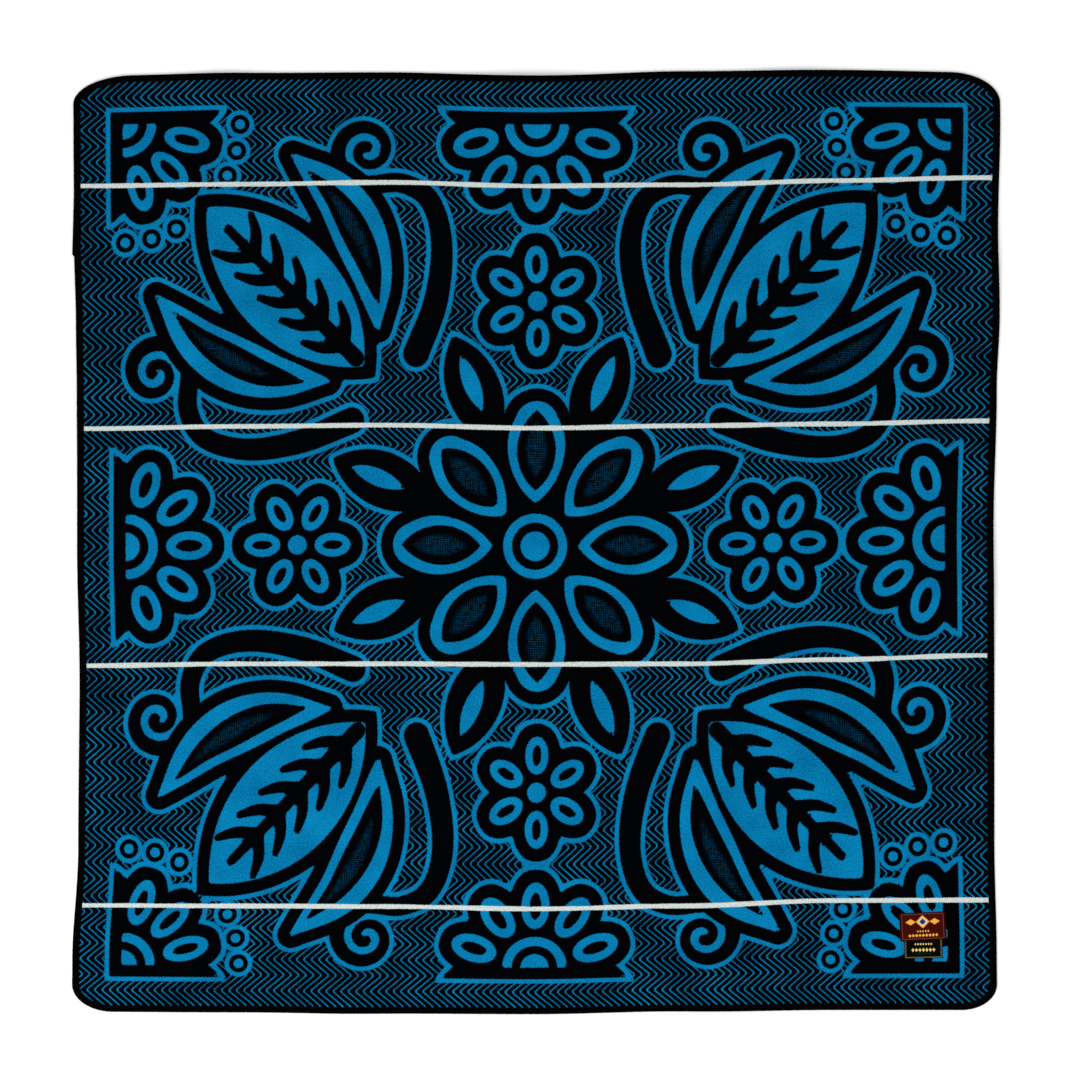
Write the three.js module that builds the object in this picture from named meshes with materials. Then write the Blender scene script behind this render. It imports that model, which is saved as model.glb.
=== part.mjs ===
// A patterned wool blanket of the Basotho kind, spread out flat, face up.
// Pieces: the woven cloth, the yarn whipping round its edge, and two woven labels sewn on near one corner.
// Millimetres, +Z up, +Y towards the blanket's top edge. The origin is on the floor under the middle.
import * as THREE from "three";

const { lerp, smoothstep, degToRad } = THREE.MathUtils;

// Driving dimensions of the cut blanket
const WIDTH = 1550;
const LENGTH = 1580;
const CLOTH_THICK = 4;

// Its rounded corners, counter-clockwise from the top right: which way from the middle, radii, first angle
const CORNERS = [
  { u: 1, v: 1, across: 85, up: 55, from: 0 },
  { u: -1, v: 1, across: 100, up: 50, from: 90 },
  { u: -1, v: -1, across: 70, up: 50, from: 180 },
  { u: 1, v: -1, across: 60, up: 45, from: 270 },
];

// The whipping grips a pressed-down rim of the cloth, and its section is a C that opens inwards
const WHIP_WIDTH = 10;
const WHIP_WALL = 0.7;
const WHIP_BOTTOM = 0.1;
const GAP = 0.3;
const RIM_GAP = 0.5;
const RIM_THICK = CLOTH_THICK - 2 * (WHIP_BOTTOM + WHIP_WALL + RIM_GAP);
const RIM_FROM = WHIP_WALL + RIM_GAP;
const RIM_WIDTH = WHIP_WIDTH - WHIP_WALL;
const RIM_RAMP = 3;
const ROUND = { from: WHIP_WIDTH / 3, inside: 0.5, share: 0.7 };

// How the cloth lies: the drift of six lines across it, towards +Y, at stations along X.
// The lines are the two hems and the four woven stripes between them.
const ACROSS = [-750, -500, -250, 0, 250, 500, 750];
const DRIFT = [
  { line: "bottom hem", v: -790, up: [6, 5, 3, 2, 7, 9, 9] },
  { line: "stripe 4", v: -600, up: [-6, -7, -8, -12, -7, 2, 3] },
  { line: "stripe 3", v: -200, up: [-6, -3, -3, -4, -3, 4, 11] },
  { line: "stripe 2", v: 200, up: [-11, -7, -5, -10, -6, -3, 2] },
  { line: "stripe 1", v: 600, up: [-6, -3, 0, -6, -4, 3, 8] },
  { line: "top hem", v: 790, up: [-12, -7, -6, -12, -4, -2, -6] },
];

// How far each side hem lies in from straight, at stations along Y
const ALONG = [-790, -700, -500, -250, 0, 250, 375, 500, 700, 790];
const LEFT_IN = [0, 1, 11, 14, 9, 9, 7, 4, 3, 2];
const RIGHT_IN = [5, 6, 10, 10, 12, 6, 1, 4, 0, 1];

// Soft waves that the slack raises at the hems: place along the side, half width, reach inwards, height.
// The cloth is flat from the reach of the widest, and rings of points stand at shares of the way there.
const WAVES = [
  { side: "top", at: -10, spread: 95, reach: 190, height: 6 },
  { side: "top", at: -520, spread: 60, reach: 120, height: 3 },
  { side: "top", at: 430, spread: 70, reach: 130, height: 3 },
  { side: "bottom", at: -330, spread: 75, reach: 140, height: 4 },
  { side: "bottom", at: 330, spread: 100, reach: 180, height: 5 },
  { side: "left", at: -300, spread: 110, reach: 190, height: 6 },
  { side: "left", at: 240, spread: 60, reach: 120, height: 3 },
  { side: "right", at: -60, spread: 110, reach: 190, height: 6 },
  { side: "right", at: 460, spread: 60, reach: 130, height: 4 },
];
const FLAT_FROM = 190;
const RING_SHARES = [0.25, 0.45, 0.65, 0.82, 1];

// The sewn labels: middle on the laid cloth, size, turn, and the lower edge's rise over the other label
const LABEL_THICK = 0.8;
const COVER_GAP = 0.4;
const LABELS = {
  upper: { x: 645, y: -640.5, width: 77, height: 46, turn: 2.7, raised: LABEL_THICK + COVER_GAP },
  lower: { x: 646, y: -676.5, width: 64, height: 35, turn: 1.1, raised: 0 },
};
const RAISE = { full: -14, none: -6 };
const LABEL_CELLS = { across: 10, up: 8 };

// Points round every closed loop of the outline
const SIDE_POINTS = 30;
const CORNER_POINTS = 8;
const INNER_RADIUS = 24;

// Value of a table at a place, easing from one station to the next
function atPlace(stations, values, place) {
  let i = 0;
  while (i < stations.length - 2 && place > stations[i + 1]) i++;
  return lerp(values[i], values[i + 1], smoothstep(place, stations[i], stations[i + 1]));
}

// The flat cloth's point (u, v) as it lies on the floor
function lay(u, v) {
  let i = 0;
  while (i < DRIFT.length - 2 && v > DRIFT[i + 1].v) i++;
  const [below, above] = [DRIFT[i], DRIFT[i + 1]];
  const share = (v - below.v) / (above.v - below.v);
  const up = lerp(atPlace(ACROSS, below.up, u), atPlace(ACROSS, above.up, u), share);
  const inward = lerp(atPlace(ALONG, LEFT_IN, v), -atPlace(ALONG, RIGHT_IN, v), u / WIDTH + 0.5);
  return { x: u + inward, y: v + up };
}

// Height of the waves at the flat cloth's point (u, v)
function lift(u, v) {
  const fromHem = {
    top: [u, LENGTH / 2 - v],
    bottom: [u, LENGTH / 2 + v],
    left: [v, WIDTH / 2 + u],
    right: [v, WIDTH / 2 - u],
  };
  let height = 0;
  for (const wave of WAVES) {
    const [place, inside] = fromHem[wave.side];
    const fade = Math.max(0, 1 - inside / wave.reach);
    height += wave.height * Math.exp(-(((place - wave.at) / wave.spread) ** 2)) * fade ** 2;
  }
  return height;
}

// The point of a round corner at a share of its quarter turn, this far inside the hem
function cornerPoint(corner, share, inside) {
  const across = Math.max(corner.across - inside, INNER_RADIUS);
  const up = Math.max(corner.up - inside, INNER_RADIUS);
  const angle = degToRad(corner.from + 90 * share);
  return {
    u: corner.u * (WIDTH / 2 - inside - across) + across * Math.cos(angle),
    v: corner.v * (LENGTH / 2 - inside - up) + up * Math.sin(angle),
  };
}

// One closed loop of the flat outline, this far inside the hem, counter-clockwise from the top right corner
function outlineLoop(inside) {
  const loop = [];
  CORNERS.forEach((corner, i) => {
    for (let k = 0; k < CORNER_POINTS; k++) {
      loop.push(cornerPoint(corner, k / (CORNER_POINTS - 1), inside));
    }
    const start = loop[loop.length - 1];
    const end = cornerPoint(CORNERS[(i + 1) % CORNERS.length], 0, inside);
    for (let k = 1; k <= SIDE_POINTS; k++) {
      const share = k / (SIDE_POINTS + 1);
      loop.push({ u: lerp(start.u, end.u, share), v: lerp(start.v, end.v, share) });
    }
  });
  return loop;
}

// A loop laid on the floor at a height above the cloth's underside
function laidRing(inside, height) {
  return outlineLoop(inside).map(({ u, v }) => {
    const { x, y } = lay(u, v);
    return new THREE.Vector3(x, y, height + lift(u, v));
  });
}

// A closed solid from rings of equal length: capped at both ends, or joined from the last ring to the first
function solidFromRings(rings, capped) {
  const count = rings[0].length;
  const points = rings.flat();
  const faces = [];
  const strips = capped ? rings.length - 1 : rings.length;
  for (let r = 0; r < strips; r++) {
    const here = r * count;
    const there = ((r + 1) % rings.length) * count;
    for (let i = 0; i < count; i++) {
      const j = (i + 1) % count;
      faces.push(here + i, there + i, there + j, here + i, there + j, here + j);
    }
  }
  if (capped) {
    const cap = THREE.ShapeUtils.triangulateShape(rings[0].map((p) => new THREE.Vector2(p.x, p.y)), []);
    const last = (rings.length - 1) * count;
    for (const [a, b, c] of cap) faces.push(a, b, c, last + a, last + c, last + b);
  }
  const geometry = new THREE.BufferGeometry().setFromPoints(points);
  geometry.setIndex(faces);
  geometry.computeVertexNormals();
  return geometry;
}

// The woven cloth: its face from the flat middle out to the hem, then its back the same way in
function clothGeometry() {
  const rimLow = (CLOTH_THICK - RIM_THICK) / 2;
  const profile = [
    { inside: RIM_FROM, low: rimLow },
    { inside: RIM_FROM + RIM_WIDTH, low: rimLow },
    { inside: RIM_FROM + RIM_WIDTH + RIM_RAMP, low: 0 },
    ...RING_SHARES.map((share) => ({ inside: FLAT_FROM * share, low: 0 })),
  ];
  const face = profile.map(({ inside, low }) => laidRing(inside, CLOTH_THICK - low));
  const back = profile.map(({ inside, low }) => laidRing(inside, low));
  return solidFromRings([...face.reverse(), ...back], true);
}

// The whipping: a C section round the rim, swept along the hem, with a rounded back
function whippingGeometry() {
  const middle = CLOTH_THICK / 2;
  const half = middle - WHIP_BOTTOM;
  const hollow = half - WHIP_WALL;
  const section = [
    { inside: WHIP_WIDTH, height: half },
    { inside: ROUND.from, height: half },
    { inside: ROUND.inside, height: half * ROUND.share },
    { inside: 0, height: 0 },
    { inside: ROUND.inside, height: -half * ROUND.share },
    { inside: ROUND.from, height: -half },
    { inside: WHIP_WIDTH, height: -half },
    { inside: WHIP_WIDTH, height: -hollow },
    { inside: WHIP_WALL, height: -hollow },
    { inside: WHIP_WALL, height: hollow },
    { inside: WHIP_WIDTH, height: hollow },
  ];
  const rings = section.map(({ inside, height }) => laidRing(inside, middle + height));
  return solidFromRings(rings, false);
}

// A sewn label: a thin sheet on the cloth's face, its lower edge raised where it covers the other label
function labelGeometry({ width, height, raised }) {
  const sheet = new THREE.BoxGeometry(width, height, LABEL_THICK, LABEL_CELLS.across, LABEL_CELLS.up, 1);
  const places = sheet.getAttribute("position");
  for (let i = 0; i < places.count; i++) {
    const ease = smoothstep(-places.getY(i), -RAISE.none, -RAISE.full);
    places.setZ(i, places.getZ(i) + LABEL_THICK / 2 + raised * ease);
  }
  sheet.computeVertexNormals();
  return sheet;
}

function fabric(color, roughness) {
  return new THREE.MeshStandardMaterial({ color, roughness, metalness: 0 });
}

const MATERIALS = {
  cloth: fabric(0x037fb4, 0.95),
  whipping: fabric(0x08080a, 0.9),
  upperLabel: fabric(0x58150c, 0.6),
  lowerLabel: fabric(0x0d0d0c, 0.6),
};

function piece(name, geometry, material) {
  const mesh = new THREE.Mesh(geometry, material);
  mesh.name = name;
  return mesh;
}

function label(name, place, material) {
  const mesh = piece(name, labelGeometry(place), material);
  mesh.position.set(place.x, place.y, CLOTH_THICK + GAP);
  mesh.rotation.z = degToRad(place.turn);
  return mesh;
}

const laid = new THREE.Group();
laid.add(
  piece("blanket_cloth", clothGeometry(), MATERIALS.cloth),
  piece("edge_whipping", whippingGeometry(), MATERIALS.whipping),
  label("lower_label", LABELS.lower, MATERIALS.lowerLabel),
  label("upper_label", LABELS.upper, MATERIALS.upperLabel),
);

// The laid outline is uneven, so its box is centred over the origin
const middle = new THREE.Box3().setFromObject(laid).getCenter(new THREE.Vector3());
laid.position.set(-middle.x, -middle.y, 0);

const blanket = new THREE.Group();
blanket.add(laid);

export default blanket;
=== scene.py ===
import bpy
import numpy as np
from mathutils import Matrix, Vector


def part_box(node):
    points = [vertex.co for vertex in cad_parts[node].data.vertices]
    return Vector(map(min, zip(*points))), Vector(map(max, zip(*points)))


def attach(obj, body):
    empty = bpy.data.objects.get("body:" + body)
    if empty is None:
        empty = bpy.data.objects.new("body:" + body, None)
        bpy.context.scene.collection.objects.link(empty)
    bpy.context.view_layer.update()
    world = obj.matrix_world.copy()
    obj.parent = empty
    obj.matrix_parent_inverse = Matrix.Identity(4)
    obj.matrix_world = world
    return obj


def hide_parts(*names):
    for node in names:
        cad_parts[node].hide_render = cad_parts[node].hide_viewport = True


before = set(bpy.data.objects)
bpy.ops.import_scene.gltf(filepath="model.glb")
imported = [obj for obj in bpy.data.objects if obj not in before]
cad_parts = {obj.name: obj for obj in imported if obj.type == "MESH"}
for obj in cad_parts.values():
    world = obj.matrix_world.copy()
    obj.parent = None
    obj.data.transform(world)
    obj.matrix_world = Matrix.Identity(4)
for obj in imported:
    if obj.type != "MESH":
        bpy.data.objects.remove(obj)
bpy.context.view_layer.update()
MM = 0.001
SEED = 7
TINY = 1e-9

# Driving dimensions of the cut blanket
WIDTH = 1550
LENGTH = 1580
CLOTH_THICK = 4

# Its rounded corners, counter-clockwise from the top right: which way from the middle, and radii
CORNERS = [
    {"u": 1, "v": 1, "across": 85, "up": 55},
    {"u": -1, "v": 1, "across": 100, "up": 50},
    {"u": -1, "v": -1, "across": 70, "up": 50},
    {"u": 1, "v": -1, "across": 60, "up": 45},
]

# The rim that the whipping presses down
RIM_FROM = 1.2
RIM_WIDTH = 9.3
RIM_RAMP = 3
RIM_THICK = 1.4

# How the cloth lies: the drift of six lines across it, towards +Y, at stations along X
ACROSS = [-750, -500, -250, 0, 250, 500, 750]
DRIFT = [
    {"line": "bottom hem", "v": -790, "up": [6, 5, 3, 2, 7, 9, 9]},
    {"line": "stripe 4", "v": -600, "up": [-6, -7, -8, -12, -7, 2, 3]},
    {"line": "stripe 3", "v": -200, "up": [-6, -3, -3, -4, -3, 4, 11]},
    {"line": "stripe 2", "v": 200, "up": [-11, -7, -5, -10, -6, -3, 2]},
    {"line": "stripe 1", "v": 600, "up": [-6, -3, 0, -6, -4, 3, 8]},
    {"line": "top hem", "v": 790, "up": [-12, -7, -6, -12, -4, -2, -6]},
]

# How far each side hem lies in from straight, at stations along Y
ALONG = [-790, -700, -500, -250, 0, 250, 375, 500, 700, 790]
LEFT_IN = [0, 1, 11, 14, 9, 9, 7, 4, 3, 2]
RIGHT_IN = [5, 6, 10, 10, 12, 6, 1, 4, 0, 1]

# Soft waves at the hems: place along the side, half width, reach inwards, height
WAVES = [
    {"side": "top", "at": -10, "spread": 95, "reach": 190, "height": 6},
    {"side": "top", "at": -520, "spread": 60, "reach": 120, "height": 3},
    {"side": "top", "at": 430, "spread": 70, "reach": 130, "height": 3},
    {"side": "bottom", "at": -330, "spread": 75, "reach": 140, "height": 4},
    {"side": "bottom", "at": 330, "spread": 100, "reach": 180, "height": 5},
    {"side": "left", "at": -300, "spread": 110, "reach": 190, "height": 6},
    {"side": "left", "at": 240, "spread": 60, "reach": 120, "height": 3},
    {"side": "right", "at": -60, "spread": 110, "reach": 190, "height": 6},
    {"side": "right", "at": 460, "spread": 60, "reach": 130, "height": 4},
]

# Cells of the cloth's mesh, and the low swells of its brushed face
CELL = 7.2
SWELLS = [
    {"height": 0.25, "wave_u": 144, "wave_v": 182, "sway": 1.2},
    {"height": 0.45, "wave_u": 430, "wave_v": 510, "sway": 0.9},
]

# Whipping: stitch pitch, yarn, slant, a stitch's path as distance inside the hem and height, unevenness
PITCH = 3
YARN = {"wide": 4.0, "thick": 1.2, "sides": 5}
SLANT = 2.5
STITCH = [
    {"inside": 12.4, "height": 1.25, "plump": 0.45},
    {"inside": 11.5, "height": 1.85, "plump": 1},
    {"inside": 7.0, "height": 2.0, "plump": 1},
    {"inside": 2.6, "height": 1.75, "plump": 1},
    {"inside": 0.7, "height": 0.9, "plump": 1},
    {"inside": 0.7, "height": -0.8, "plump": 1},
    {"inside": 2.8, "height": -1.25, "plump": 1},
    {"inside": 7.0, "height": -1.25, "plump": 1},
    {"inside": 11.0, "height": -0.9, "plump": 0.45},
]
UNEVEN = {"place": 0.25, "reach": 0.025, "plump": 0.06}

# Where the whipping's end laps over its start on the left hem: ends, reach outwards, how squarely it faces
LAP = {"low": 486, "high": 590, "out": 3.2, "facing": 0.99}

# Labels: thickness, gap under them, cell of the mesh, the edge's share of the thickness, and pucker
LABEL_THICK = 0.8
LABEL_GAP = 0.3
LABEL_CELL = 1.0
LABEL_EDGE = 0.55
PUCKER = {"height": 0.12, "fade": 4, "wave": 1.9}

# Their places: middle on the laid cloth, size, turn, and the lower edge's rise over the other label
LABELS = {
    "upper_label": {"x": 645, "y": -640.5, "width": 77, "height": 46, "turn": 2.7, "raised": 1.2},
    "lower_label": {"x": 646, "y": -676.5, "width": 64, "height": 35, "turn": 1.1, "raised": 0},
}
RAISE_NONE = -6
RAISE_FULL = -14

# Sewing round each label: how far in from its edge, stitch, gap, thread, and the sides that are covered
SEWING = {
    "upper_label": {"inset": (4.0, 2.5), "stitch": 2.7, "gap": 0.5, "thread": 1.0, "hidden": []},
    "lower_label": {"inset": (1.0, 1.0), "stitch": 2.3, "gap": 0.7, "thread": 0.6, "hidden": ["top"]},
}

# One sewing stitch: heights along it, and the sides of its thread
ARCH = [-0.35, 0.15, 0.3, 0.15, -0.35]
THREAD_SIDES = 6

# Camera: what the frame takes in at the cloth's face, and where its middle is
FRAME_WIDTH = 1801.3
FRAME_MIDDLE = (6.4, 3.5)
LENS = 85
SENSOR = 36

# Pattern: outline and halo of each figure, the side figures' base line, and the plain black selvedge, which
# also paints the whipping's shade on the cloth beside it
OUTLINE = 21
HALO = 7.2
BASE_LINE = 692
SELVEDGE_AND_SHADE = 12

# Its zigzag ground: height and slope of a zigzag, pitch and share of the lines, one pick, blunt turns
ZIG_HEIGHT = 27.8
ZIG_SLOPE = 1.136
LINE_PITCH = 12.5
LINE_SHARE = 0.18
PICK = 1.4
TURN = 1.8

# Its stripes: half width, and how far the inner and outer pairs are from the middle
STRIPE_HALF = 3.8
STRIPE_INNER = 200
STRIPE_OUTER = 600

# Its beads round each corner sun: distance and directions from the sun's middle, radii of bead and eye
BEADS = {"reach": 196, "angles": (243, 256, 269), "radius": 16, "eye": 8}

# Its mixed weave: how softly a patch fades, thread spacing, a thread's start and soft edge, share of blue
MIXED = {"fade": 5, "half_pitch": 1.9, "start": 1.2, "soft": 0.5, "share": 0.21}

# How a mixed thread comes and goes: scale of the noise across and along it, level and softness of the cut
COMES_AND_GOES = {"across": 0.5, "along": 0.08, "level": 0.5, "soft": 0.15}


# How the cloth lies

def eased(stations, values, places):
    """Values of a table at these places, easing from one station to the next."""
    stations = np.asarray(stations, float)
    values = np.asarray(values, float)
    i = np.clip(np.searchsorted(stations, places) - 1, 0, len(stations) - 2)
    share = np.clip((places - stations[i]) / (stations[i + 1] - stations[i]), 0, 1)
    share = share * share * (3 - 2 * share)
    return values[i] + (values[i + 1] - values[i]) * share


def laid(u, v):
    """The flat cloth's points (u, v) as they lie on the floor."""
    lines = np.array([row["v"] for row in DRIFT], float)
    drift = np.array([eased(ACROSS, row["up"], u) for row in DRIFT])
    i = np.clip(np.searchsorted(lines, v) - 1, 0, len(lines) - 2)
    share = (v - lines[i]) / (lines[i + 1] - lines[i])
    below = np.take_along_axis(drift, i[None], 0)[0]
    above = np.take_along_axis(drift, i[None] + 1, 0)[0]
    left = eased(ALONG, LEFT_IN, v)
    right = -eased(ALONG, RIGHT_IN, v)
    return u + left + (right - left) * (u / WIDTH + 0.5), v + below + (above - below) * share


def lift(u, v):
    """Height of the waves at the flat cloth's points (u, v)."""
    from_hem = {
        "top": (u, LENGTH / 2 - v),
        "bottom": (u, LENGTH / 2 + v),
        "left": (v, WIDTH / 2 + u),
        "right": (v, WIDTH / 2 - u),
    }
    height = np.zeros_like(u)
    for wave in WAVES:
        place, inside = from_hem[wave["side"]]
        fade = np.clip(1 - inside / wave["reach"], 0, None)
        height += wave["height"] * np.exp(-(((place - wave["at"]) / wave["spread"]) ** 2)) * fade**2
    return height


def swell(u, v):
    """Height of the brushed face's low swells."""
    height = np.zeros_like(u)
    for row in SWELLS:
        turn_u = 2 * np.pi * u / row["wave_u"]
        turn_v = 2 * np.pi * v / row["wave_v"]
        bent_u = turn_u + row["sway"] * np.sin(turn_v / 2)
        bent_v = turn_v + row["sway"] * np.sin(turn_u / 2)
        height += row["height"] * np.sin(bent_u) * np.sin(bent_v)
    return height


def hem_line(steps=24):
    """The flat outline, counter-clockwise: length along it, points, and the outward direction's angle."""
    turn = np.concatenate([np.linspace(k, k + 1, steps) * np.pi / 2 for k in range(len(CORNERS))])
    sign_u, sign_v, across, up = (np.repeat([row[key] for row in CORNERS], steps) for key in CORNERS[0])
    u = sign_u * (WIDTH / 2 - across) + across * np.cos(turn)
    v = sign_v * (LENGTH / 2 - up) + up * np.sin(turn)
    u, v = np.append(u, u[0]), np.append(v, v[0])
    angle = np.unwrap(np.arctan2(across * np.sin(turn), up * np.cos(turn)))
    angle = np.append(angle, 2 * np.pi)
    along = np.concatenate([[0], np.cumsum(np.hypot(np.diff(u), np.diff(v)))])
    return along, u, v, angle


def corner_radii(u, v):
    """Radii of the nearest corner."""
    across, up = np.zeros_like(u), np.zeros_like(v)
    for row in CORNERS:
        near = (u * row["u"] >= 0) & (v * row["v"] >= 0)
        across = np.where(near, row["across"], across)
        up = np.where(near, row["up"], up)
    return across, up


def round_corners(u, v):
    """Grid points with those near the corners drawn in to the rounded outline."""
    across, up = corner_radii(u, v)
    share_u = (np.abs(u) - WIDTH / 2) / across + 1
    share_v = (np.abs(v) - LENGTH / 2) / up + 1
    corner = (share_u > 0) & (share_v > 0)
    scale = np.maximum(share_u, share_v) / np.maximum(np.hypot(share_u, share_v), TINY)
    round_u = np.sign(u) * (WIDTH / 2 + (share_u * scale - 1) * across)
    round_v = np.sign(v) * (LENGTH / 2 + (share_v * scale - 1) * up)
    return np.where(corner, round_u, u), np.where(corner, round_v, v)


def inside_hem(u, v):
    """Distance of the flat cloth's points from its outline."""
    across, up = corner_radii(u, v)
    in_u = WIDTH / 2 - np.abs(u)
    in_v = LENGTH / 2 - np.abs(v)
    corner = (in_u < across) & (in_v < up)
    round_in = oval((across - in_u, up - in_v), -across, across, 2 * up)
    return np.where(corner, round_in, np.minimum(in_u, in_v))


def floor_shift(steps=40):
    """What brings the laid outline's middle over the middle of the CAD whipping's box."""
    low, high = (np.array(corner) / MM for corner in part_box("edge_whipping"))
    _, u, v, _ = hem_line()
    fine = np.linspace(0, 1, steps)
    u = np.concatenate([a + (b - a) * fine for a, b in zip(u[:-1], u[1:])])
    v = np.concatenate([a + (b - a) * fine for a, b in zip(v[:-1], v[1:])])
    x, y = laid(u, v)
    middle = np.array([x.min() + x.max(), y.min() + y.max()]) / 2
    return (low[:2] + high[:2]) / 2 - middle


SHIFT = floor_shift()


def on_floor(u, v, height):
    """The flat cloth's points (u, v) at a height above its underside, in the shared frame."""
    x, y = laid(u, v)
    return np.stack([x + SHIFT[0], y + SHIFT[1], height + lift(u, v)], -1)


# Meshes

def add_object(name, points, faces, material):
    mesh = bpy.data.meshes.new(name)
    mesh.from_pydata((np.reshape(points, (-1, 3)) * MM).tolist(), [], faces)
    mesh.materials.append(material)
    mesh.shade_smooth()
    made = bpy.data.objects.new(name, mesh)
    bpy.context.scene.collection.objects.link(made)
    return made


def store(made, name, values):
    """Keeps three values for each vertex with the mesh, for its material to read."""
    layer = made.data.attributes.new(name, "FLOAT_VECTOR", "POINT")
    layer.data.foreach_set("vector", np.asarray(values, np.float32).ravel())


def slab(name, face, back, material, face_share=0.86, pad=0.006):
    """A closed sheet from two grids of points, with most of its bake map given to the face."""
    rows, columns = face.shape[:2]
    count = rows * columns
    index = np.arange(count).reshape(rows, columns)
    top = np.stack([index[:-1, :-1], index[:-1, 1:], index[1:, 1:], index[1:, :-1]], -1).reshape(-1, 4)
    bottom = top[:, ::-1]
    rim = np.concatenate([index[0, :-1], index[:-1, -1], index[-1, :0:-1], index[:0:-1, 0]])
    ahead = np.roll(rim, -1)
    wall = np.stack([rim + count, ahead + count, ahead, rim], -1)
    faces = np.concatenate([top, bottom + count, wall])
    points = np.concatenate([face.reshape(-1, 3), back.reshape(-1, 3)])
    made = add_object(name, points, faces.tolist(), material)

    grid_v, grid_u = np.mgrid[0:1:rows * 1j, 0:1:columns * 1j]
    unit = np.stack([grid_u, grid_v], -1).reshape(-1, 2)
    on_face = unit * face_share + pad
    on_back = unit * [1 - face_share - 4 * pad, face_share] + [face_share + 3 * pad, pad]
    middle = face_share / 2 + pad
    on_wall = middle + (on_face - middle) * (1 + pad)
    walls = np.stack([on_wall[rim], on_wall[ahead], on_face[ahead], on_face[rim]], 1)
    places = np.concatenate([on_face[top], on_back[bottom], walls]).astype(np.float32)
    made.data.uv_layers.new(name="OFBake").data.foreach_set("uv", places.ravel())
    return made


def tubes(name, path, across, yarn, plump, material):
    """Closed tubes along paths, each path a row of points, with the width of the yarn along a direction."""
    count, steps = path.shape[:2]
    sides = yarn["sides"]
    run = np.gradient(path, axis=1)
    run /= np.linalg.norm(run, axis=2, keepdims=True)
    out = np.cross(run, across)
    out /= np.linalg.norm(out, axis=2, keepdims=True)
    turn = 2 * np.pi * np.arange(sides) / sides
    wide = (yarn["wide"] / 2 * plump)[:, :, None, None] * np.cos(turn)[:, None] * across[:, :, None]
    thick = (yarn["thick"] / 2 * plump)[:, :, None, None] * np.sin(turn)[:, None] * out[:, :, None]

    tube = np.arange(steps * sides).reshape(steps, sides)
    beside = np.roll(tube, -1, axis=1)
    walls = np.stack([tube[:-1], beside[:-1], beside[1:], tube[1:]], -1).reshape(-1, 4)
    caps = np.stack([tube[0, ::-1], tube[-1]])
    first = np.arange(count)[:, None, None] * steps * sides
    faces = (walls + first).reshape(-1, 4).tolist() + (caps + first).reshape(-1, sides).tolist()
    return add_object(name, path[:, :, None] + wide + thick, faces, material)


# Pattern fields: positive inside a shape, in millimetres

def disc(p, middle, radius):
    return radius - np.hypot(p[0] - middle[0], p[1] - middle[1])


def ring(p, middle, radius, width):
    return width / 2 - np.abs(disc(p, middle, radius))


def oval(p, base, tip, width):
    """An oval along the first axis."""
    long = (tip - base) / 2
    wide = width / 2
    du = p[0] - (base + tip) / 2
    share = np.hypot(du / long, p[1] / wide)
    slope = np.hypot(du / long**2, p[1] / wide**2)
    return share * (1 - share) / np.maximum(slope, TINY)


def leaf(p, base, tip, width):
    """A pointed leaf along the first axis, between two arcs."""
    radius = ((tip - base) ** 2 + width**2) / (4 * width)
    return radius - np.hypot(p[0] - (base + tip) / 2, np.abs(p[1]) + radius - width / 2)


def smooth_path(points, count):
    """A smooth curve through points."""
    points = np.asarray(points, float)
    padded = np.vstack([2 * points[0] - points[1], points, 2 * points[-1] - points[-2]])
    at = np.linspace(0, len(points) - 1, count)
    i = np.minimum(at.astype(int), len(points) - 2)
    f = (at - i)[:, None]
    a, b, c, d = (padded[i + k] for k in range(4))
    return 0.5 * (2 * b + (c - a) * f + (2 * a - 5 * b + 4 * c - d) * f**2 + (3 * b - a - 3 * c + d) * f**3)


def stroke(p, points, widths, count=40):
    """A brush stroke along a smooth curve, its width going through widths."""
    path = smooth_path(points, count)
    half = smooth_path(np.array(widths)[:, None], count)[:, 0] / 2
    field = np.full(p[0].shape, -np.inf)
    for a, b, half_a, half_b in zip(path[:-1], path[1:], half[:-1], half[1:]):
        eu, ev = b - a
        t = np.clip(((p[0] - a[0]) * eu + (p[1] - a[1]) * ev) / (eu * eu + ev * ev), 0, 1)
        distance = np.hypot(p[0] - a[0] - t * eu, p[1] - a[1] - t * ev)
        field = np.maximum(field, half_a + (half_b - half_a) * t - distance)
    return field


def curl(middle, radius, start, turns, count=14, inner=0.11):
    """Points of a spiral that winds in."""
    t = np.linspace(0, 1, count)
    angle = np.radians(start + 360 * turns * t)
    reach = radius * (1 - (1 - inner) * t)
    return [(middle[0] + r * np.cos(a), middle[1] + r * np.sin(a)) for r, a in zip(reach, angle)]


def turned(p, middle, step, offset=0):
    """Places folded round a middle, so that one shape along the first axis repeats at each step of angle."""
    du = p[0] - middle[0]
    dv = p[1] - middle[1]
    angle = np.degrees(np.arctan2(dv, du)) - offset
    angle = np.radians(angle - step * np.round(angle / step))
    reach = np.hypot(du, dv)
    return reach * np.cos(angle), reach * np.sin(angle)


class Figures:
    """Layers of the woven figures: blue shapes, black ink on them, black shapes, mixed ink and blue eyes."""

    def __init__(self):
        self.layers = {}

    def add(self, name, *fields):
        for field in fields:
            self.layers[name] = np.maximum(self.layers.get(name, field), field)


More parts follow.
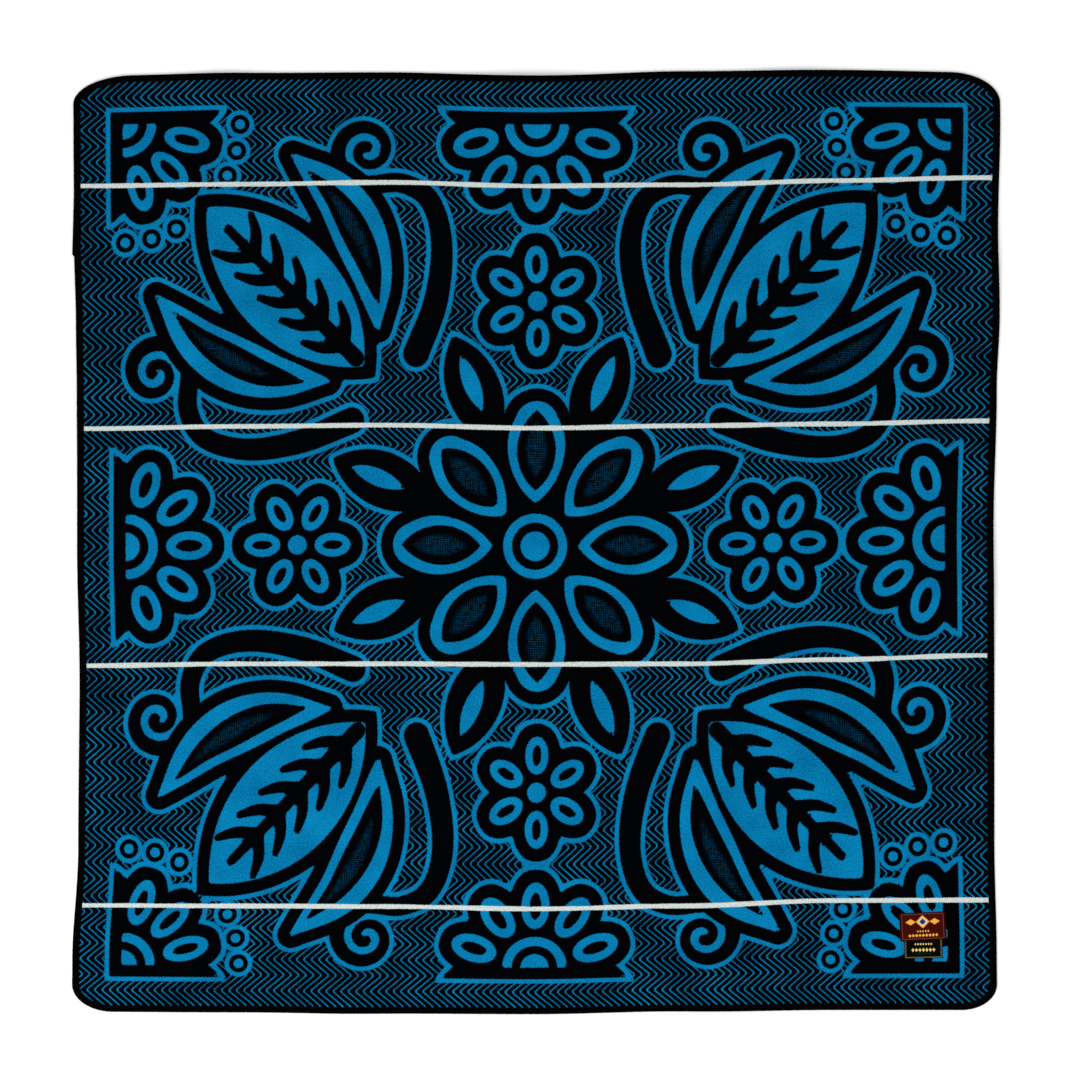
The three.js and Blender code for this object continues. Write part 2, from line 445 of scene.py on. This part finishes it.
def add_rosette(figures, p):
    """Middle flower of eight petals, with pointed leaves between them."""
    middle = (0, 0)
    petal = turned(p, middle, step=45)
    between = turned(p, middle, step=45, offset=22.5)
    figures.add("blue", stroke(petal, [(80, 0), (140, 0), (204, 0)], widths=[14, 56, 86, 96, 72]))
    figures.add("blue", disc(p, middle, radius=54))
    figures.add("ink", leaf(petal, base=92, tip=226, width=66), ring(p, middle, radius=32, width=15))
    figures.add("mixed", leaf(petal, base=110, tip=212, width=42))
    figures.add("black", leaf(between, base=180, tip=372, width=92))
    figures.add("eyes", leaf(between, base=240, tip=338, width=28))


def add_spray(figures, fold):
    """Veined leaf on each diagonal, with a curved leaf and a scroll on both its sides."""
    p = ((fold[0] + fold[1]) / np.sqrt(2), (fold[0] - fold[1]) / np.sqrt(2))
    figures.add("blue", leaf(p, base=412, tip=780, width=170))
    figures.add("ink", stroke(p, [(430, 0), (730, 0)], widths=[28, 16], count=3))
    for start in range(462, 680, 52):
        vein = [(start, 4), (start + 22, 28), (start + 50, 44)]
        figures.add("ink", stroke(p, vein, widths=[21, 19, 12], count=12))
    curved = [(440, 60), (522, 126), (622, 164), (740, 162)]
    dark = [(468, 90), (536, 132), (624, 158), (704, 161)]
    heart = [(500, 113), (556, 141), (624, 158), (680, 161)]
    figures.add("blue", stroke(p, curved, widths=[8, 62, 88, 66, 6], count=60))
    figures.add("ink", stroke(p, dark, widths=[6, 38, 48, 30, 4]))
    figures.add("mixed", stroke(p, heart, widths=[4, 22, 30, 18, 4]))
    stem = [(312, 204), (400, 170), (490, 158), (560, 178), (588, 226)]
    scroll = stem + curl((642, 284), radius=57, start=180, turns=-1.5)
    figures.add("black", stroke(fold, scroll, widths=[44, 36, 32, 26, 22, 18, 16, 17, 20], count=100))


def add_sun(figures, fold):
    """Half sun on a base line at the middle of each side, with a small flower before it."""
    edge = (BASE_LINE, 0)
    ray = turned(fold, edge, step=36)
    sun = np.maximum(oval(ray, base=68, tip=146, width=47), disc(fold, edge, radius=54))
    figures.add("blue", np.minimum(sun, BASE_LINE - fold[0]))
    figures.add("ink", oval(ray, base=84, tip=130, width=20), ring(fold, edge, radius=31, width=15))
    middle = (402, 0)
    petal = turned(fold, middle, step=60)
    figures.add("blue", oval(petal, base=29, tip=90, width=39), disc(fold, middle, radius=16))
    figures.add("ink", oval(petal, base=42, tip=77, width=15))


def add_corner(figures, fold):
    """Quarter sun in each corner."""
    corner = (BASE_LINE, BASE_LINE)
    ray = turned(fold, corner, step=30, offset=225)
    sun = np.maximum(oval(ray, base=72, tip=150, width=41), disc(fold, corner, radius=56))
    figures.add("blue", np.minimum(sun, BASE_LINE - fold[0]))
    figures.add("ink", oval(ray, base=88, tip=134, width=17), ring(fold, corner, radius=33, width=15))


def woven_figures(u, v):
    """The pattern's fields at the flat cloth's points. It is drawn on an eighth of a square and mirrored."""
    p = (u, v * WIDTH / LENGTH)
    fold = (np.maximum(np.abs(p[0]), np.abs(p[1])), np.minimum(np.abs(p[0]), np.abs(p[1])))
    figures = Figures()
    add_rosette(figures, p)
    add_spray(figures, fold)
    add_sun(figures, fold)
    add_corner(figures, fold)
    return figures.layers


# Materials

class Recipe:
    """A material whose nodes are built from expressions."""

    def __init__(self, name, **shader):
        self.material = bpy.data.materials.new(name)
        self.material.use_nodes = True
        self.tree = self.material.node_tree
        self.shader = self.tree.nodes["Principled BSDF"]
        for key, value in shader.items():
            self.set(key.replace("_", " "), value)

    def set(self, name, value):
        """Gives one of the shader's sockets a value or a link."""
        self.put(self.shader.inputs[name], value)

    def put(self, socket, value):
        if isinstance(value, bpy.types.NodeSocket):
            self.tree.links.new(value, socket)
        else:
            socket.default_value = value

    def node(self, kind, inputs, **settings):
        made = self.tree.nodes.new(kind)
        for key, value in settings.items():
            setattr(made, key, value)
        for key, value in inputs.items():
            self.put(made.inputs[key], value)
        return made

    def math(self, operation, *values):
        return self.node("ShaderNodeMath", dict(enumerate(values)), operation=operation).outputs[0]

    def stored(self, name):
        """The three values that a mesh keeps under a name."""
        return self.node("ShaderNodeAttribute", {}, attribute_name=name).outputs["Vector"]

    def parts(self, vector):
        return self.node("ShaderNodeSeparateXYZ", {"Vector": vector}).outputs

    def scaled(self, vector, scale):
        return self.node("ShaderNodeVectorMath", {0: vector, 1: scale}, operation="MULTIPLY").outputs[0]

    def noise(self, place, scale=1, detail=2):
        inputs = {"Vector": place, "Scale": scale, "Detail": detail}
        return self.node("ShaderNodeTexNoise", inputs).outputs["Fac"]

    def grain(self, place, noise):
        """Noise spread over the whole range from 0 to 1."""
        return self.between(self.noise(place, **noise), *GRAIN_SPREAD)

    def sway(self, noise, reach):
        """Noise from -reach to reach."""
        return self.math("MULTIPLY_ADD", noise, 2 * reach, -reach)

    def edge(self, field, soft):
        """1 where a field is positive and 0 where it is negative, with a soft edge."""
        inputs = {"Value": field, "From Min": -soft, "From Max": soft}
        return self.node("ShaderNodeMapRange", inputs, interpolation_type="SMOOTHSTEP").outputs["Result"]

    def between(self, share, low, high):
        inputs = {"Value": share, "To Min": low, "To Max": high}
        return self.node("ShaderNodeMapRange", inputs).outputs["Result"]

    def colour(self, share, low, high):
        return self.node("ShaderNodeMix", {0: share, 6: low, 7: high}, data_type="RGBA").outputs[2]

    def bump(self, height, distance, strength):
        inputs = {"Height": height, "Distance": distance, "Strength": strength}
        self.set("Normal", self.node("ShaderNodeBump", inputs).outputs["Normal"])


# Linear colours, darkest and lightest of each yarn
DYES = {
    "blue": [(0.0006, 0.105, 0.25, 1), (0.0022, 0.215, 0.45, 1)],
    "black": [(0.00005, 0.0001, 0.0003, 1), (0.0009, 0.0013, 0.0023, 1)],
    "white": [(0.4, 0.45, 0.42, 1), (0.68, 0.74, 0.71, 1)],
    "whipping": [(0.0002, 0.0002, 0.0003, 1), (0.0012, 0.0012, 0.0016, 1)],
    "red label": [(0.03, 0.0014, 0.0004, 1), (0.058, 0.0036, 0.0012, 1)],
    "red sewing": [(0.2, 0.04, 0.025, 1), (0.34, 0.075, 0.05, 1)],
    "black label": [(0.0004, 0.0003, 0.0003, 1), (0.002, 0.0017, 0.0016, 1)],
    "gold sewing": [(0.06, 0.045, 0.012, 1), (0.14, 0.11, 0.03, 1)],
    "floor": [(0.97, 0.97, 0.97, 1), (1, 1, 1, 1)],
}
# Darker maroon: painted shade round the red label's outer margin
SHADE_MAROON = (0.022, 0.001, 0.0004, 1)
GOLD = (0.78, 0.35, 0.035, 1)
STRAW = (0.62, 0.52, 0.13, 1)
DULL_GOLD = (0.2, 0.155, 0.045, 1)
CREAM = (0.6, 0.56, 0.5, 1)
NAVY = (0.02, 0.02, 0.14, 1)
DIM_GREY = (0.018, 0.024, 0.028, 1)

# Noise of each kind, with scales in cycles a millimetre, and the range that a grain is stretched to
NOISES = {
    "fuzz": {"scale": 0.45, "detail": 3},
    "drift": {"scale": 0.014, "detail": 2},
    "wool grain": {"scale": 0.36, "detail": 3},
    "label grain": {"scale": 0.5, "detail": 3},
    "nap": {"scale": 1, "detail": 4},
    "twist": {"scale": 1, "detail": 3},
}
GRAIN_SPREAD = (-0.7, 1.7)

# Stretch of the noise along the nap and along each kind of yarn
NAP_STRETCH = (0.9, 0.35, 1)
WHIPPING_TWIST = (2.2, 0.5, 0.5)
SEWING_TWIST = (1.5, 1.5, 1.5)

# Bumps, with heights in metres, and the range of each roughness
BUMPS = {
    "nap": {"distance": 0.0012, "strength": 0.5},
    "twist": {"distance": 0.0006, "strength": 0.6},
    "ribs": {"distance": 0.0006, "strength": 0.5},
}
ROUGHNESS = {"wool": (0.88, 1.0), "yarn": (0.7, 0.95), "label": (0.5, 0.75)}

# Wool: reach of its fuzz and drift, soft edge of a shape, how much both sway lines and stripes, uneven shade
FUZZ_REACH = 2
DRIFT_REACH = 1
WOOL_SOFT = 0.7
LINE_SWAY = {"fuzz": 0.9, "drift": 0.8}
STRIPE_SWAY = {"fuzz": 0.7, "drift": 1.3}
SHADE_DRIFT = 0.6

# Label cloth: soft and ragged edges of what is woven in, half pitch of its ribs, and grain in its bump
LABEL_SOFT = 0.3
LABEL_RAGGED = 0.3
RIBS = {"x": 0.3, "y": 0.35, "grain": 0.05}


def ground_lines(recipe, u, v):
    """The zigzag ground's lines, positive on a line, stepped from pick to pick and blunt at their turns."""
    rise = recipe.math("PINGPONG", recipe.math("SNAP", v, PICK), ZIG_HEIGHT)
    blunt = recipe.math("MAXIMUM", recipe.math("MINIMUM", rise, ZIG_HEIGHT - TURN), TURN)
    zig = recipe.math("MULTIPLY", blunt, ZIG_SLOPE)
    across = recipe.math("PINGPONG", recipe.math("ADD", u, zig), LINE_PITCH / 2)
    return recipe.math("SUBTRACT", across, LINE_PITCH / 2 * (1 - LINE_SHARE))


def stripe_field(recipe, v):
    """The four stripes, positive on a stripe."""
    middle = (STRIPE_OUTER + STRIPE_INNER) / 2
    outer = recipe.math("ABSOLUTE", recipe.math("SUBTRACT", recipe.math("ABSOLUTE", v), middle))
    off = recipe.math("ABSOLUTE", recipe.math("SUBTRACT", outer, middle - STRIPE_INNER))
    return recipe.math("SUBTRACT", STRIPE_HALF, off)


def nearest_bead(recipe, u, v):
    """Distance from the nearest bead's middle, on the eighth of a square that the pattern is drawn on."""
    across = recipe.math("ABSOLUTE", u)
    up = recipe.math("ABSOLUTE", recipe.math("MULTIPLY", v, WIDTH / LENGTH))
    fold = {"X": recipe.math("MAXIMUM", across, up), "Y": recipe.math("MINIMUM", across, up)}
    place = recipe.node("ShaderNodeCombineXYZ", fold).outputs[0]
    nearest = WIDTH
    for angle in np.radians(BEADS["angles"]):
        middle = (BASE_LINE + BEADS["reach"] * np.cos(angle), BASE_LINE + BEADS["reach"] * np.sin(angle), 0)
        away = recipe.node("ShaderNodeVectorMath", {0: place, 1: middle}, operation="DISTANCE")
        nearest = recipe.math("MINIMUM", away.outputs["Value"], nearest)
    return nearest


def mixed_weave(recipe, flat, u, v):
    """The share of blue in the dark mixed weave: thin crossing threads that come and go along the way."""
    across, along = COMES_AND_GOES["across"], COMES_AND_GOES["along"]
    ways = [
        {"place": u, "stretch": (across, along, 1)},
        {"place": v, "stretch": (along, across, 1)},
    ]
    threads = []
    for way in ways:
        beside = recipe.math("PINGPONG", way["place"], MIXED["half_pitch"])
        thread = recipe.edge(recipe.math("SUBTRACT", beside, MIXED["start"]), MIXED["soft"])
        level = recipe.noise(recipe.scaled(flat, way["stretch"]))
        seen = recipe.edge(recipe.math("SUBTRACT", level, COMES_AND_GOES["level"]), COMES_AND_GOES["soft"])
        threads.append(recipe.math("MULTIPLY", thread, seen))
    return recipe.math("MULTIPLY", recipe.math("MAXIMUM", *threads), MIXED["share"])


def wool_material():
    """Brushed wool: the pattern in blue on black, reversed on the underside, with white stripes."""
    recipe = Recipe("brushed_wool", Specular_IOR_Level=0.004, Sheen_Weight=0.012, Sheen_Roughness=0.4)
    flat = recipe.stored("flat")
    u, v, back = recipe.parts(flat)
    blue, ink, black = recipe.parts(recipe.stored("shapes"))
    mixed, eyes, inside = recipe.parts(recipe.stored("accents"))
    bead = nearest_bead(recipe, u, v)
    black = recipe.math("MAXIMUM", black, recipe.math("SUBTRACT", BEADS["radius"], bead))
    eyes = recipe.math("MAXIMUM", eyes, recipe.math("SUBTRACT", BEADS["eye"], bead))
    fuzz = recipe.sway(recipe.noise(flat, **NOISES["fuzz"]), FUZZ_REACH)
    drift = recipe.sway(recipe.noise(flat, **NOISES["drift"]), DRIFT_REACH)
    grain = recipe.grain(flat, NOISES["wool grain"])

    def shape(field, loose=fuzz):
        return recipe.edge(recipe.math("ADD", field, loose), WOOL_SOFT)

    def times(a, b):
        return recipe.math("MULTIPLY", a, b)

    def swayed(shares):
        return recipe.math("ADD", times(fuzz, shares["fuzz"]), times(drift, shares["drift"]))

    silhouette = recipe.math("MAXIMUM", recipe.math("ADD", blue, OUTLINE), black)
    figure = recipe.math("MAXIMUM", recipe.math("MINIMUM", blue, times(ink, -1)), eyes)
    lines = shape(ground_lines(recipe, u, v), swayed(LINE_SWAY))
    ground = shape(recipe.math("SUBTRACT", -HALO, silhouette))
    outside = recipe.math("SUBTRACT", 1, times(ground, recipe.math("SUBTRACT", 1, lines)))
    faded = recipe.edge(recipe.math("SUBTRACT", mixed, MIXED["fade"]), MIXED["fade"])
    within = recipe.math("MAXIMUM", shape(figure), times(faded, mixed_weave(recipe, flat, u, v)))
    figured = recipe.node("ShaderNodeMix", {0: shape(silhouette), 2: outside, 3: within}).outputs[0]
    turned_over = recipe.math("ABSOLUTE", recipe.math("SUBTRACT", figured, back))
    # Black along the hem: plain selvedge under the whipping, and painted shade just beside it
    share = times(turned_over, shape(recipe.math("SUBTRACT", inside, SELVEDGE_AND_SHADE)))

    shade = recipe.math("MULTIPLY_ADD", drift, SHADE_DRIFT, grain)
    woven = recipe.colour(share, recipe.colour(grain, *DYES["black"]), recipe.colour(shade, *DYES["blue"]))
    stripe = shape(stripe_field(recipe, v), swayed(STRIPE_SWAY))
    recipe.set("Base Color", recipe.colour(stripe, woven, recipe.colour(grain, *DYES["white"])))
    recipe.set("Roughness", recipe.between(grain, *ROUGHNESS["wool"]))

    nap = recipe.noise(recipe.scaled(flat, NAP_STRETCH), **NOISES["nap"])
    recipe.bump(nap, **BUMPS["nap"])
    return recipe.material


def yarn_material(name, dyes, stretch):
    """Twisted yarn or thread: fine streaks along it, in colour, roughness and bump."""
    recipe = Recipe(name, Specular_IOR_Level=0.01)
    twist = recipe.noise(recipe.scaled(recipe.stored("flat"), stretch), **NOISES["twist"])
    recipe.set("Base Color", recipe.colour(twist, *dyes))
    recipe.set("Roughness", recipe.between(twist, *ROUGHNESS["yarn"]))
    recipe.bump(twist, **BUMPS["twist"])
    return recipe.material


def frame_field(recipe, x, y, border_and_shade):
    """A thin rectangular frame, positive on its line."""
    out_x = recipe.math("SUBTRACT", recipe.math("ABSOLUTE", x), border_and_shade["half_width"])
    out_y = recipe.math("SUBTRACT", recipe.math("ABSOLUTE", y), border_and_shade["half_height"])
    off = recipe.math("ABSOLUTE", recipe.math("MAXIMUM", out_x, out_y))
    return recipe.math("SUBTRACT", border_and_shade["half_line"], off)


def lozenge_row(recipe, x, y, row):
    """A row of lozenges about the label's middle, positive inside them."""
    in_cell = recipe.math("ABSOLUTE", recipe.math("WRAP", x, row["pitch"] / 2, -row["pitch"] / 2))
    off = recipe.math("ABSOLUTE", recipe.math("SUBTRACT", y, row["y"]))
    share = recipe.math("MULTIPLY_ADD", in_cell, row["high"] / row["wide"], off)
    inside = recipe.math("SUBTRACT", row["high"], share)
    return recipe.math("MINIMUM", inside, recipe.math("SUBTRACT", row["reach"], recipe.math("ABSOLUTE", x)))


def label_material(name, dyes, border_and_shade, rows):
    """Woven label cloth with fine ribs, a thin frame and rows of lozenges; the frame is painted shade round
    the red label's margin and a woven line on the black one.
    """
    recipe = Recipe(name, Specular_IOR_Level=0.02)
    flat = recipe.stored("flat")
    x, y, _ = recipe.parts(flat)
    grain = recipe.grain(flat, NOISES["label grain"])
    ragged = recipe.sway(grain, LABEL_RAGGED)
    ribs_x = recipe.math("PINGPONG", x, RIBS["x"])
    ribs_y = recipe.math("PINGPONG", y, RIBS["y"])
    ribs = recipe.math("MULTIPLY", ribs_y, ribs_x)

    def inlaid(under, field, thread):
        return recipe.colour(recipe.edge(recipe.math("ADD", field, ragged), LABEL_SOFT), under, thread)

    colour = recipe.colour(grain, *dyes)
    # The frame: painted shade at the red label's margin, a woven line on the black label
    colour = inlaid(colour, frame_field(recipe, x, y, border_and_shade), border_and_shade["thread"])
    for row in rows:
        colour = inlaid(colour, lozenge_row(recipe, x, y, row), row["thread"])
    recipe.set("Base Color", colour)
    recipe.set("Roughness", recipe.between(grain, *ROUGHNESS["label"]))
    recipe.bump(recipe.math("MULTIPLY_ADD", grain, RIBS["grain"], ribs), **BUMPS["ribs"])
    return recipe.material


# What is woven into each label, and the painted shade round the red label's margin
# Red label's frame: a maroon band at its outer margin, painted shade
UPPER_MARGIN_SHADE = {"half_width": 36.8, "half_height": 22, "half_line": 1.2, "thread": SHADE_MAROON}
UPPER_ROWS = [
    {"y": 7.5, "pitch": 20, "reach": 29, "wide": 8.6, "high": 5.2, "thread": GOLD},
    {"y": 7.5, "pitch": 80, "reach": 20, "wide": 11.5, "high": 11, "thread": GOLD},
    {"y": 7.5, "pitch": 80, "reach": 20, "wide": 8.2, "high": 7.8, "thread": CREAM},
    {"y": 7.5, "pitch": 80, "reach": 20, "wide": 5.8, "high": 5.5, "thread": NAVY},
    {"y": -8.3, "pitch": 4.4, "reach": 11.2, "wide": 1.7, "high": 1.9, "thread": GOLD},
    {"y": -15, "pitch": 5.6, "reach": 25.4, "wide": 2.5, "high": 2.8, "thread": GOLD},
]
LOWER_BORDER = {"half_width": 29.4, "half_height": 15.6, "half_line": 0.45, "thread": DULL_GOLD}
LOWER_ROWS = [
    {"y": 6.2, "pitch": 4.4, "reach": 15.6, "wide": 1.7, "high": 2.0, "thread": STRAW},
    {"y": -3.5, "pitch": 5.8, "reach": 20.4, "wide": 2.5, "high": 3.3, "thread": STRAW},
    {"y": -10, "pitch": 3.2, "reach": 13, "wide": 1.3, "high": 0.7, "thread": DIM_GREY},
]


def floor_material():
    """Plain pale floor, with noise in cycles a metre."""
    recipe = Recipe("studio_floor", Roughness=0.9, Specular_IOR_Level=0.1)
    place = recipe.node("ShaderNodeTexCoord", {}).outputs["Object"]
    recipe.set("Base Color", recipe.colour(recipe.noise(place, scale=3), *DYES["floor"]))
    return recipe.material


# Pieces

def grid_lines(size):
    """Places of the cloth mesh's lines across a size: close at the rim, even in between."""
    rim = np.array([RIM_FROM, RIM_FROM + RIM_WIDTH, RIM_FROM + RIM_WIDTH + RIM_RAMP])
    start = -size / 2 + rim[-1]
    even = np.linspace(start, -start, round(-2 * start / CELL) + 1)
    return np.concatenate([-size / 2 + rim[:-1], even, size / 2 - rim[-2::-1]])


def make_cloth():
    u, v = round_corners(*np.meshgrid(grid_lines(WIDTH), grid_lines(LENGTH)))
    grid = (*u.shape, 3)
    u, v = u.ravel(), v.ravel()
    inside = inside_hem(u, v)
    ramp = np.clip((inside - RIM_FROM - RIM_WIDTH) / RIM_RAMP, 0, 1)
    thick = RIM_THICK + (CLOTH_THICK - RIM_THICK) * ramp
    face = on_floor(u, v, (CLOTH_THICK + thick) / 2 + swell(u, v) * ramp)
    back = on_floor(u, v, (CLOTH_THICK - thick) / 2)
    made = slab("wool_cloth", face.reshape(grid), back.reshape(grid), wool_material())

    layers = woven_figures(u, v)
    shapes = np.stack([layers["blue"], layers["ink"], layers["black"]], -1)
    accents = np.stack([layers["mixed"], layers["eyes"], inside], -1)
    face_flat = np.stack([u, v, np.zeros_like(u)], -1)
    back_flat = np.stack([u, v, np.ones_like(u)], -1)
    store(made, "shapes", np.tile(shapes, (2, 1)))
    store(made, "accents", np.tile(accents, (2, 1)))
    store(made, "flat", np.concatenate([face_flat, back_flat]))
    return made


def make_whipping():
    """Overcast yarn stitches round the whole rim, each a closed tube."""
    rng = np.random.default_rng(SEED)
    along, hem_u, hem_v, hem_angle = hem_line()
    count = int(along[-1] / PITCH)
    steps = len(STITCH)
    inside, height, plump = (np.array([row[key] for row in STITCH]) for key in STITCH[0])
    start = np.linspace(0, along[-1], count, endpoint=False) + rng.uniform(-1, 1, count) * UNEVEN["place"]
    place = (start[:, None] + np.linspace(-0.5, 0.5, steps) * SLANT) % along[-1]
    u, v, angle = (np.interp(place, along, values) for values in (hem_u, hem_v, hem_angle))
    reach = inside * rng.normal(1, UNEVEN["reach"], (count, 1))
    lapped = (u < 0) & (np.abs(np.cos(angle)) > LAP["facing"]) & (v > LAP["low"]) & (v < LAP["high"])
    reach = reach - LAP["out"] * lapped * np.clip((LAP["high"] - v) / (LAP["high"] - LAP["low"]), 0, 1)
    plump = plump * rng.normal(1, UNEVEN["plump"], (count, 1))

    level = np.broadcast_to(CLOTH_THICK / 2 + height, place.shape)
    inner_u = u - np.cos(angle) * reach
    inner_v = v - np.sin(angle) * reach
    path = on_floor(inner_u.ravel(), inner_v.ravel(), level.ravel()).reshape(count, steps, 3)
    hem = np.stack([-np.sin(angle), np.cos(angle), np.zeros_like(angle)], -1)
    made = tubes("whipping_stitches", path, hem, YARN, plump,
                 yarn_material("whipping_yarn", DYES["whipping"], WHIPPING_TWIST))
    store(made, "flat", np.repeat(np.stack([place, reach, level], -1), YARN["sides"], axis=1))
    return made


def on_label(spec, x, y, height):
    """A label's own points as they lie in the shared frame."""
    turn = np.radians(spec["turn"])
    laid_x = spec["x"] + x * np.cos(turn) - y * np.sin(turn) + SHIFT[0]
    laid_y = spec["y"] + x * np.sin(turn) + y * np.cos(turn) + SHIFT[1]
    return np.stack([laid_x, laid_y, height], -1)


def label_levels(spec, x, y):
    """Heights of a label's back and face, with soft edges and a slight pucker where it is sewn."""
    rim = np.minimum(spec["width"] / 2 - np.abs(x), spec["height"] / 2 - np.abs(y))
    soft = np.clip(rim / LABEL_CELL, 0, 1)
    ripple = np.sin(x / PUCKER["wave"]) * np.sin(y / PUCKER["wave"] + 1)
    pucker = PUCKER["height"] * np.exp(-rim / PUCKER["fade"]) * ripple
    ease = np.clip((RAISE_NONE - y) / (RAISE_NONE - RAISE_FULL), 0, 1)
    low = CLOTH_THICK + LABEL_GAP + spec["raised"] * ease * ease * (3 - 2 * ease)
    return low, low + LABEL_THICK * (LABEL_EDGE + (1 - LABEL_EDGE) * soft) + pucker * soft


def make_label(node, material):
    """A thin woven label."""
    spec = LABELS[node]
    columns = round(spec["width"] / LABEL_CELL) + 1
    rows = round(spec["height"] / LABEL_CELL) + 1
    side_x = np.linspace(-0.5, 0.5, columns) * spec["width"]
    side_y = np.linspace(-0.5, 0.5, rows) * spec["height"]
    x, y = np.meshgrid(side_x, side_y)
    low, high = label_levels(spec, x, y)
    name = node.replace("label", "woven_label")
    made = slab(name, on_label(spec, x, y, high), on_label(spec, x, y, low), material)
    flat = np.stack([x.ravel(), y.ravel(), np.zeros(x.size)], -1)
    store(made, "flat", np.tile(flat, (2, 1)))
    return made


def make_sewing(node, material):
    """Rows of thread stitches along the sides of a label, each a short closed tube that dips at its ends."""
    spec = LABELS[node]
    sewing = SEWING[node]
    half_x = spec["width"] / 2 - sewing["inset"][0]
    half_y = spec["height"] / 2 - sewing["inset"][1]
    sides = {
        "top": ((-half_x, half_y), (half_x, half_y)),
        "right": ((half_x, half_y), (half_x, -half_y)),
        "bottom": ((half_x, -half_y), (-half_x, -half_y)),
        "left": ((-half_x, -half_y), (-half_x, half_y)),
    }
    starts, ends = [], []
    for side, corners in sides.items():
        if side in sewing["hidden"]:
            continue
        a, b = np.array(corners)
        count = round(np.linalg.norm(b - a) / (sewing["stitch"] + sewing["gap"]))
        first = np.arange(count)[:, None] / count
        full = sewing["stitch"] / (sewing["stitch"] + sewing["gap"]) / count
        starts.append(a + (b - a) * first)
        ends.append(a + (b - a) * (first + full))
    starts, ends = np.concatenate(starts), np.concatenate(ends)

    share = np.linspace(0, 1, len(ARCH))[:, None]
    flat = starts[:, None] + (ends - starts)[:, None] * share
    x, y = flat[..., 0], flat[..., 1]
    height = label_levels(spec, x, y)[1] + np.array(ARCH)
    path = on_label(spec, x, y, height)
    run = path[:, -1] - path[:, 0]
    across = np.stack([run[:, 1], -run[:, 0], np.zeros(len(run))], -1)
    across /= np.linalg.norm(across, axis=1)[:, None]
    across = np.repeat(across[:, None], len(ARCH), axis=1)
    thread = {"wide": sewing["thread"], "thick": sewing["thread"], "sides": THREAD_SIDES}
    made = tubes(node + "_sewing", path, across, thread, np.ones(x.shape), material)
    store(made, "flat", np.repeat(np.stack([x, y, height], -1), THREAD_SIDES, axis=1))
    return made


def make_floor(size=40000, under=0.3):
    corners = [(-size, -size, -under), (size, -size, -under), (size, size, -under), (-size, size, -under)]
    return add_object("floor", np.array(corners, float), [[0, 1, 2, 3]], floor_material())


# Studio, in metres and watts

WORLD_STRENGTH = 0.78
LIGHTS = [
    {"name": "key", "place": (-1.2, -2.4, 3.2), "size": 2.6, "power": 88},
    {"name": "fill", "place": (1.8, 1.8, 4.0), "size": 3.0, "power": 12},
]


def add_light(name, place, size, power):
    data = bpy.data.lights.new(name, "AREA")
    data.energy = power
    data.size = size
    light = bpy.data.objects.new(name, data)
    light.location = place
    light.rotation_euler = (-light.location).to_track_quat("-Z", "Y").to_euler()
    bpy.context.scene.collection.objects.link(light)


def set_studio():
    scene = bpy.context.scene
    scene.view_settings.view_transform = "Standard"
    world = bpy.data.worlds.new("studio")
    world.use_nodes = True
    background = world.node_tree.nodes["Background"]
    background.inputs["Color"].default_value = (1, 1, 1, 1)
    background.inputs["Strength"].default_value = WORLD_STRENGTH
    scene.world = world
    for row in LIGHTS:
        add_light(**row)


def set_camera():
    data = bpy.data.cameras.new("camera")
    data.lens = LENS
    data.sensor_width = SENSOR
    camera = bpy.data.objects.new("camera", data)
    height = CLOTH_THICK + FRAME_WIDTH * LENS / SENSOR
    camera.location = (FRAME_MIDDLE[0] * MM, FRAME_MIDDLE[1] * MM, height * MM)
    bpy.context.scene.collection.objects.link(camera)
    bpy.context.scene.camera = camera


set_camera()
set_studio()

cloth = make_cloth()
whipping = make_whipping()
upper_label = make_label(
    "upper_label", label_material("red_label_weave", DYES["red label"], UPPER_MARGIN_SHADE, UPPER_ROWS))
lower_label = make_label(
    "lower_label", label_material("black_label_weave", DYES["black label"], LOWER_BORDER, LOWER_ROWS))
upper_sewing = make_sewing("upper_label", yarn_material("red_thread", DYES["red sewing"], SEWING_TWIST))
lower_sewing = make_sewing("lower_label", yarn_material("gold_thread", DYES["gold sewing"], SEWING_TWIST))
floor = make_floor()

PIECES = [
    {"piece": cloth, "slot": "wool", "replaces": "blanket_cloth"},
    {"piece": whipping, "slot": "yarn", "replaces": "edge_whipping"},
    {"piece": upper_label, "slot": "red_label", "replaces": "upper_label"},
    {"piece": lower_label, "slot": "black_label", "replaces": "lower_label"},
    {"piece": upper_sewing, "slot": "red_label", "replaces": None},
    {"piece": lower_sewing, "slot": "black_label", "replaces": None},
]
for row in PIECES:
    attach(row["piece"], "root")
    if row["replaces"]:
        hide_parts(row["replaces"])
